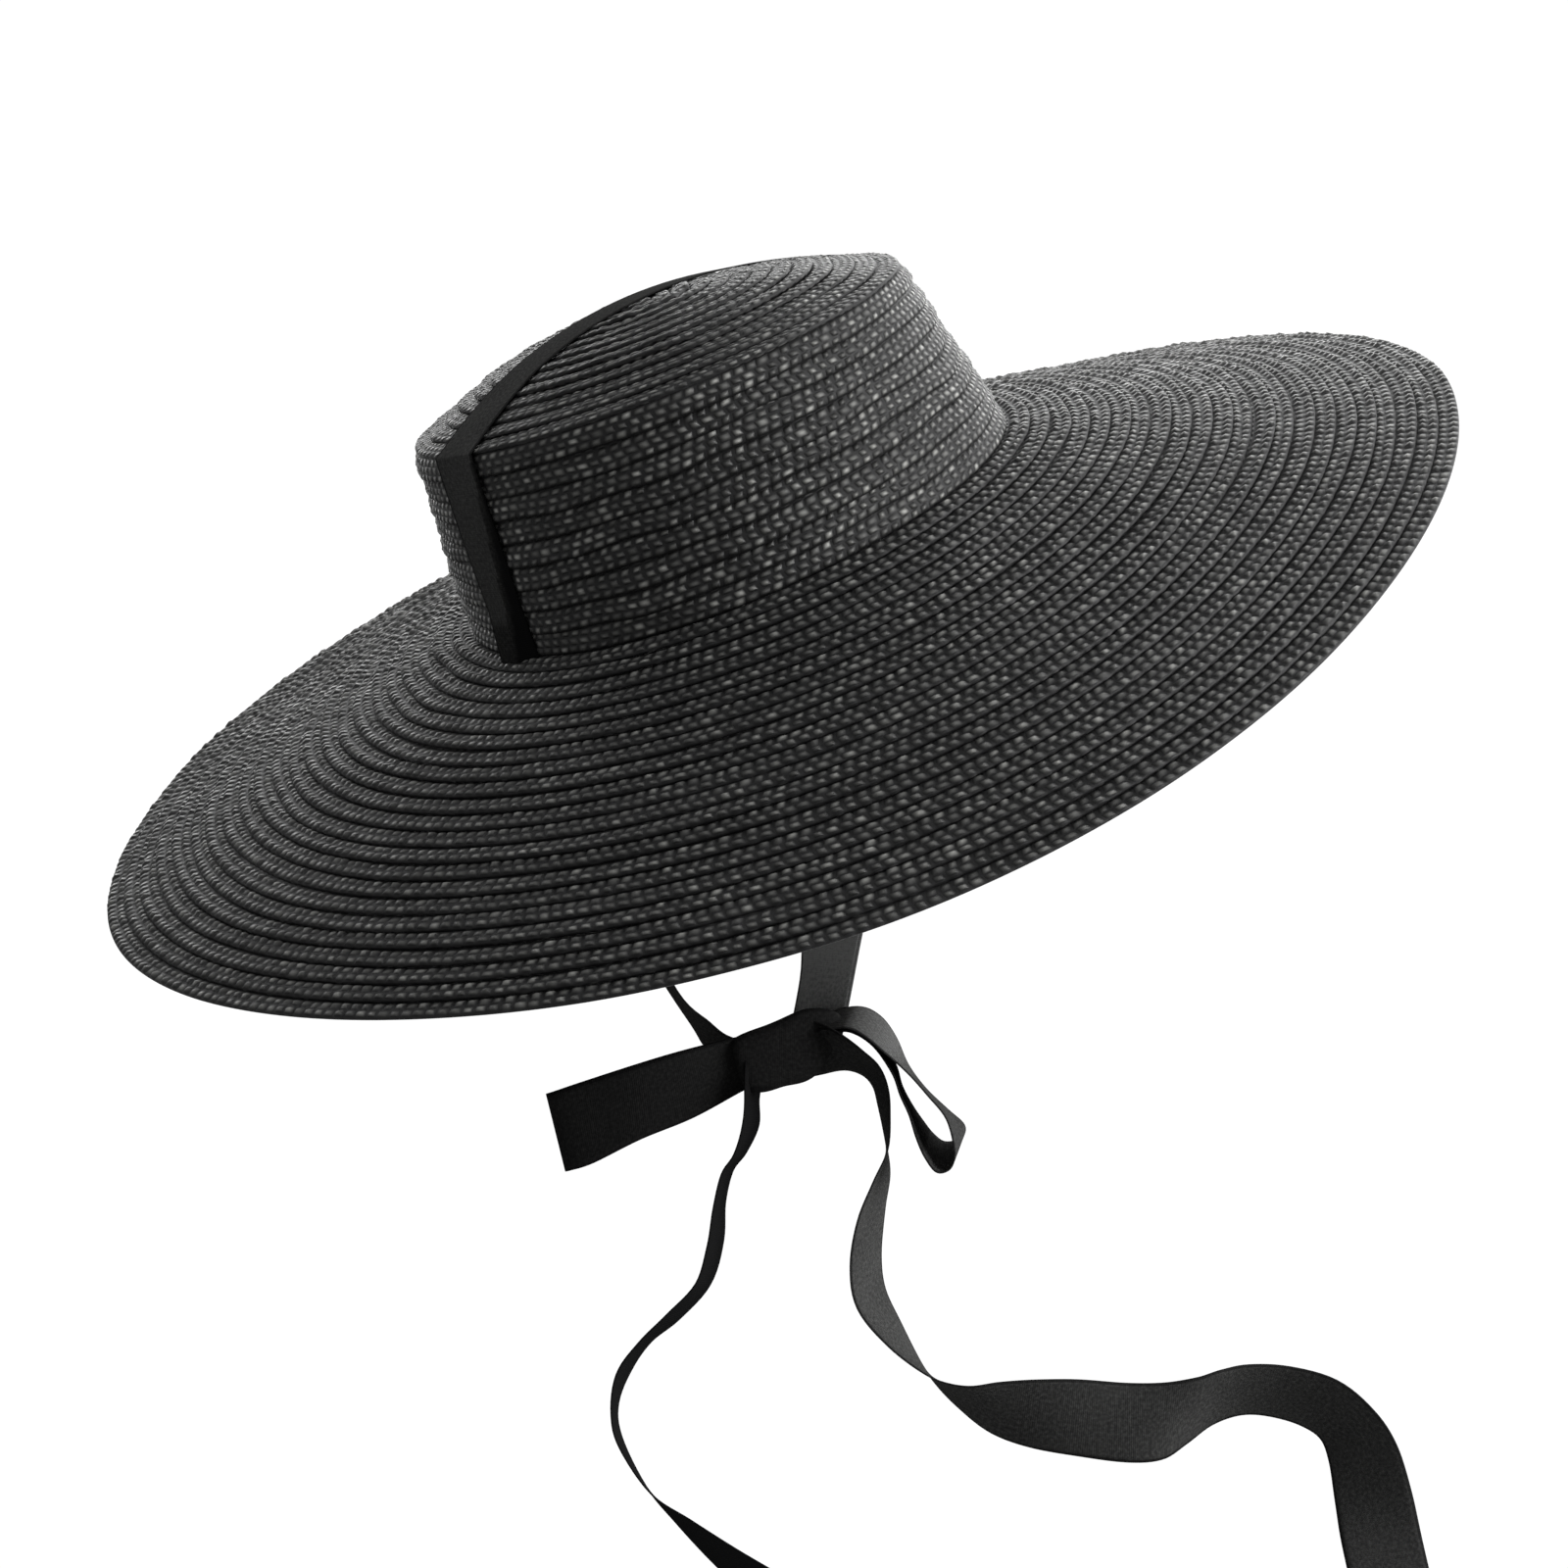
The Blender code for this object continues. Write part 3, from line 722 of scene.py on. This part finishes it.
def turnedIn(share, across):
    # how far the front edge is turned in, from none over the crown to all of it at the feet
    start = crownRibbon["turnedFrom"]
    foot = max(0.0, abs(share - 0.5) * 2 - start) / (1 - start)
    return min(1.0, max(0.0, crownRibbon["turned"] * foot - 0.5 - across) / crownRibbon["turned"])


def turnedEdge(share, across):
    return -crownRibbon["turnDepth"] * turnedIn(share, across)


# painted shade: the turned-in front edge, where the ribbon stands off the crown, is painted black
def turnedShade(share, across):
    return min(1.0, crownRibbon["turnShade"] * turnedIn(share, across))


leftSide, rightSide = crownRibbonSide(math.pi), crownRibbonSide(0.0)
# a little grey painted sheen along it, painted shade at its left foot, and the turned-in edges painted
# black as shade
ribbonPiece("crownRibbon", "crown_ribbon", leftSide + rightSide[-2::-1],
            turnedEdge,
            ((0.0, -0.3), (0.06, 0.06), (0.25, 0.08), (1.0, 0.05)), turnedShade)


# The ties hang in their own plumb frame: side, depth and drop

ties = {
    "turn": -30.5,              # degrees
    "pitch": 17.6,
    "roll": 24.1,
    "knotPlace": (0.0155, 0.005, -0.163),
    "knotLength": 0.036,
    # the knot is painted darker, as painted shade
    "knotPaintedShade": -0.6,
    "loopLeft": 0.071,          # lengths that the tables' shares are of
    "loopRight": 0.065,
    "tails": 0.174,
    "slotX": 0.0901,            # where the straps begin
    "slotZ": -0.0048,
    "behind": 0.0073,           # the straps' ends behind the middle of the knot
}

plumb = (
    Matrix.Rotation(math.radians(ties["turn"]), 3, "Z")
    @ Matrix.Rotation(math.radians(-ties["pitch"]), 3, "X")
    @ Matrix.Rotation(math.radians(ties["roll"]), 3, "Y")
)
knotPlace = Vector(ties["knotPlace"])

# side, depth, drop, lean and turn in degrees, and width as a share of the ribbon's
tailLeft = (
    (-0.040, 0.000, 0.020, 0, 60, 0.55),
    (-0.048, 0.000, 0.085, 5, 77, 0.80),
    (-0.051, 0.005, 0.140, 15, 78, 1.0),
    (-0.070, 0.010, 0.190, 25, 81, 1.0),
    (-0.093, 0.010, 0.224, 22, 82, 1.0),
    (-0.107, 0.005, 0.282, 10, 82, 1.0),
    (-0.114, 0.000, 0.350, 12, 79, 1.0),
    (-0.136, -0.010, 0.422, 38, 78, 1.0),
    (-0.190, -0.020, 0.480, 55, 77, 1.0),
    (-0.240, -0.020, 0.525, 41, 80, 1.0),
    (-0.277, -0.015, 0.578, 22, 80, 1.0),
    (-0.294, -0.010, 0.645, 2, 87, 1.0),
    (-0.284, -0.005, 0.706, -14, 91, 1.0),
    (-0.234, 0.000, 0.793, -40, 97, 1.0),
    (-0.172, 0.005, 0.850, -44, 107, 1.0),
    (-0.100, 0.010, 0.911, -44, 117, 1.0),
    (-0.020, 0.015, 0.972, -44, 127, 1.0),
)
tailRight = (
    (0.040, 0.000, 0.000, 105, 20, 0.80),
    (0.091, 0.000, 0.010, 112, 50, 0.95),
    (0.132, 0.005, 0.021, 122, 68, 1.0),
    (0.164, 0.010, 0.040, 134, 75, 1.0),
    (0.182, 0.013, 0.070, 160, 80, 1.0),
    (0.189, 0.015, 0.110, 176, 83, 1.0),
    (0.194, 0.020, 0.177, 178, 90, 1.0),
    (0.184, 0.020, 0.236, 172, 104, 1.0),
    (0.166, 0.015, 0.300, 168, 112, 1.0),
    (0.156, 0.010, 0.382, 174, 114, 1.0),
    (0.166, 0.005, 0.450, 160, 113, 1.0),
    (0.208, 0.000, 0.515, 145, 104, 1.0),
    (0.256, -0.010, 0.571, 135, 90, 1.0),
    (0.292, -0.015, 0.601, 118, 79, 1.0),
    (0.336, -0.020, 0.625, 104, 64, 1.0),
    (0.389, -0.025, 0.642, 95, 42, 1.0),
    (0.455, -0.030, 0.651, 95, 25, 1.0),
    (0.531, -0.030, 0.658, 94, 12, 1.0),
    (0.622, -0.025, 0.668, 90, 3, 1.0),
    (0.690, -0.020, 0.666, 94, 8, 1.0),
    (0.741, -0.005, 0.650, 97, 25, 1.0),
    (0.788, 0.020, 0.630, 95, 38, 1.0),
    (0.841, 0.045, 0.620, 92, 43, 1.0),
    (0.905, 0.060, 0.625, 104, 42, 1.0),
    (0.975, 0.060, 0.645, 121, 40, 1.0),
    (1.026, 0.050, 0.683, 143, 42, 1.0),
    (1.053, 0.040, 0.733, 158, 34, 1.0),
    (1.070, 0.030, 0.807, 166, 22, 1.0),
    (1.084, 0.020, 0.885, 170, 10, 1.0),
    (1.107, 0.010, 0.990, 170, 2, 1.0),
)
loopLeft = (
    (-0.10, -0.020, 0.040, 73, 0, 0.60),
    (-0.21, -0.035, 0.080, 73, 0, 0.68),
    (-0.41, -0.070, 0.160, 78, 0, 0.83),
    (-0.62, -0.085, 0.235, 83, 0, 0.90),
    (-0.84, -0.060, 0.325, 80, 0, 1.0),
    (-0.95, -0.032, 0.362, 77, 0, 1.0),
    (-0.98, 0.000, 0.370, 76, 0, 1.0),
    (-0.95, 0.032, 0.362, 77, 0, 1.0),
    (-0.84, 0.060, 0.325, 80, 0, 1.0),
    (-0.62, 0.085, 0.235, 83, 0, 0.90),
    (-0.41, 0.070, 0.160, 78, 0, 0.83),
    (-0.21, 0.035, 0.080, 73, 0, 0.68),
    (-0.10, 0.020, 0.040, 73, 0, 0.60),
)
loopRight = (
    (0.20, -0.02, -0.125, -65, 62, 0.50),
    (0.35, -0.02, -0.150, -60, 60, 0.56),
    (0.45, 0.00, -0.105, -50, 68, 0.80),
    (0.54, 0.01, -0.010, -42, 78, 1.0),
    (0.62, 0.02, 0.100, -40, 87, 1.0),
    (0.71, 0.03, 0.211, -42, 89, 1.0),
    (0.808, 0.03, 0.319, -45, 86, 1.0),
    (0.868, 0.03, 0.430, -52, 74, 1.0),
    (0.852, 0.03, 0.505, -60, 71, 1.0),
    (0.780, 0.03, 0.525, -66, 71, 1.0),
    (0.722, 0.03, 0.470, -60, 75, 1.0),
    (0.676, 0.03, 0.390, -48, 80, 1.0),
    (0.634, 0.03, 0.300, -40, 85, 1.0),
    (0.588, 0.02, 0.205, -40, 86, 1.0),
    (0.550, 0.01, 0.094, -40, 85, 1.0),
    (0.460, 0.00, -0.033, -46, 83, 0.75),
    (0.345, -0.02, -0.095, -52, 82, 0.46),
    (0.235, -0.02, -0.085, -55, 82, 0.40),
)
# how far along from the slot to the knot, then the same six, offset from the straight line there
strapLeft = (
    (0.00, 0.000, 0.000, 0.000, 3, -55, 0.45),
    (0.20, 0.000, 0.010, 0.050, -5, -62, 0.70),
    (0.45, 0.000, 0.040, 0.100, -18, -74, 0.95),
    (0.667, 0.000, 0.110, 0.120, -28, -82, 1.0),
    (0.794, 0.000, 0.155, 0.096, -32, -75, 1.0),
    (0.86, -0.006, 0.135, 0.072, -33, -68, 0.88),
    (0.93, -0.014, 0.070, 0.030, -33, -60, 0.78),
    (1.00, -0.014, 0.000, 0.000, -33, -48, 0.62),
)
strapRight = (
    (0.00, 0.000, 0.000, 0.000, 3, -55, 0.45),
    (0.15, 0.003, 0.000, 0.000, 4, -52, 0.65),
    (0.35, 0.006, 0.000, 0.000, 5, -48, 0.90),
    (0.60, -0.004, 0.004, 0.000, 6, -41, 1.0),
    (0.80, -0.006, 0.006, 0.000, 4, -40, 0.98),
    (0.90, 0.000, 0.006, 0.000, 2, -40, 0.86),
    (1.00, 0.000, 0.000, 0.000, 0, -26, 0.72),
)


def acrossOf(lean, turn, share):
    lean, turn = math.radians(lean), math.radians(turn)
    flat = math.cos(turn)
    direction = Vector((flat * math.cos(lean), math.sin(turn), -flat * math.sin(lean)))
    return plumb @ (direction * share * ribbon["width"])


def sectionCuts(rows, length):
    cuts = []
    for side, depth, drop, lean, turn, width in smoothRows(rows, ribbon["steps"]):
        middle = knotPlace + length * Vector((side, depth, -drop))
        cuts.append((plumb @ middle, acrossOf(lean, turn, width)))
    return cuts


def hangCuts(rows, slotSide, endSide, endDrop):
    start = plumb.transposed() @ Vector((slotSide * ties["slotX"], 0.0, ties["slotZ"]))
    end = knotPlace + Vector((endSide, 0.0, -endDrop)) * ties["knotLength"]
    end.y += ties["behind"]
    length = (end - start).length
    cuts = []
    for along, side, depth, drop, lean, turn, width in smoothRows(rows, ribbon["steps"]):
        middle = start.lerp(end, along) + length * Vector((side, depth, -drop))
        cuts.append((plumb @ middle, acrossOf(lean, turn, width)))
    return cuts


# the last table of each paints its light: grey painted sheen on stretches that catch the light, black
# painted shade on stretches in shade
ribbonPiece("tailLeft", "tail_left", sectionCuts(tailLeft, ties["tails"]),
            sheenAndShadeAlong=((0.0, -1.0), (1.0, -0.9)))
ribbonPiece("tailRight", "tail_right", sectionCuts(tailRight, ties["tails"]),
            sheenAndShadeAlong=((0.0, -0.5), (0.12, 0.0), (0.2, 0.06), (0.36, 0.07),
                                        (0.41, 0.02), (0.6, 0.045), (0.8, 0.03), (1.0, 0.05)))
ribbonPiece("bowLoopLeft", "bow_loop_left", sectionCuts(loopLeft, ties["loopLeft"]),
            sheenAndShadeAlong=((0.0, -0.6), (1.0, -0.6)))
ribbonPiece("bowLoopRight", "bow_loop_right", sectionCuts(loopRight, ties["loopRight"]),
            sheenAndShadeAlong=((0.0, -0.4), (0.08, 0.1), (0.2, 0.2), (0.3, 0.04), (0.5, 0.05), (0.6, 0.05),
                   (0.75, -0.8), (1.0, -1.0)))
ribbonPiece("strapLeft", "strap_left", hangCuts(strapLeft, -1, -0.29, 0.12))
ribbonPiece("strapRight", "strap_right", hangCuts(strapRight, 1, 0.30, 0.0),
            sheenAndShadeAlong=((0.0, 0.9), (0.85, 1.0), (1.0, 0.7)))


# Knot: rings round the bow's middle, from its crisp left edge to the right

# side and drop of the upper and the lower end, and depth, as shares of the knot's length
knotRings = (
    (-0.44, -0.05, -0.31, 0.36, 0.26),
    (-0.40, -0.09, -0.25, 0.39, 0.33),
    (-0.28, -0.15, -0.10, 0.39, 0.34),
    (-0.12, -0.20, 0.04, 0.33, 0.34),
    (0.04, -0.27, 0.14, 0.32, 0.33),
    (0.20, -0.35, 0.26, 0.29, 0.30),
    (0.36, -0.36, 0.37, 0.20, 0.27),
    (0.50, -0.33, 0.44, 0.06, 0.22),
    (0.57, -0.25, 0.52, -0.08, 0.14),
)


def makeKnot():
    sides = 20
    bm = bmesh.new()
    loops = []
    for upSide, upDrop, lowSide, lowDrop, depth in knotRings:
        up = Vector((upSide, 0.0, -upDrop))
        low = Vector((lowSide, 0.0, -lowDrop))
        middle, reach = (up + low) / 2, (up - low) / 2
        made = bmesh.ops.create_circle(bm, segments=sides, radius=1.0)["verts"]
        for vert in made:
            x, y = vert.co.x, vert.co.y
            flat = math.copysign(abs(y) ** 0.6, y)
            upright = math.copysign(abs(x) ** 0.8, x)
            place = middle + reach * upright + Vector((0.0, flat * depth * 0.5, 0.0))
            vert.co = plumb @ (knotPlace + place * ties["knotLength"])
        ringEdges = {edge for vert in made for edge in vert.link_edges}
        loops.append((made, list(ringEdges)))
    for (_, first), (_, second) in zip(loops, loops[1:]):
        bmesh.ops.bridge_loops(bm, edges=first + second)
    for made in (loops[0][0], loops[-1][0]):
        bm.faces.new(made)
    bmesh.ops.recalc_face_normals(bm, faces=bm.faces)
    uvs = bm.loops.layers.uv.new("weave")
    sheenAndShade = bm.verts.layers.float.new("sheenAndShade")
    for vert in bm.verts:
        vert[sheenAndShade] = ties["knotPaintedShade"]
    for face in bm.faces:
        for loop in face.loops:
            local = plumb.transposed() @ loop.vert.co - knotPlace
            loop[uvs].uv = (local.x, local.z)
    mesh = bpy.data.meshes.new("bowKnot")
    bm.to_mesh(mesh)
    bm.free()
    mesh.shade_smooth()
    mesh.materials.append(blackRibbon)
    piece = bpy.data.objects.new("bowKnot", mesh)
    bpy.context.scene.collection.objects.link(piece)
    finer = piece.modifiers.new("rounder", "SUBSURF")
    finer.levels = 2
    finer.render_levels = 2
    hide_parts("bow_knot")
    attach(piece, "root")


makeKnot()
print("bowKnot done")
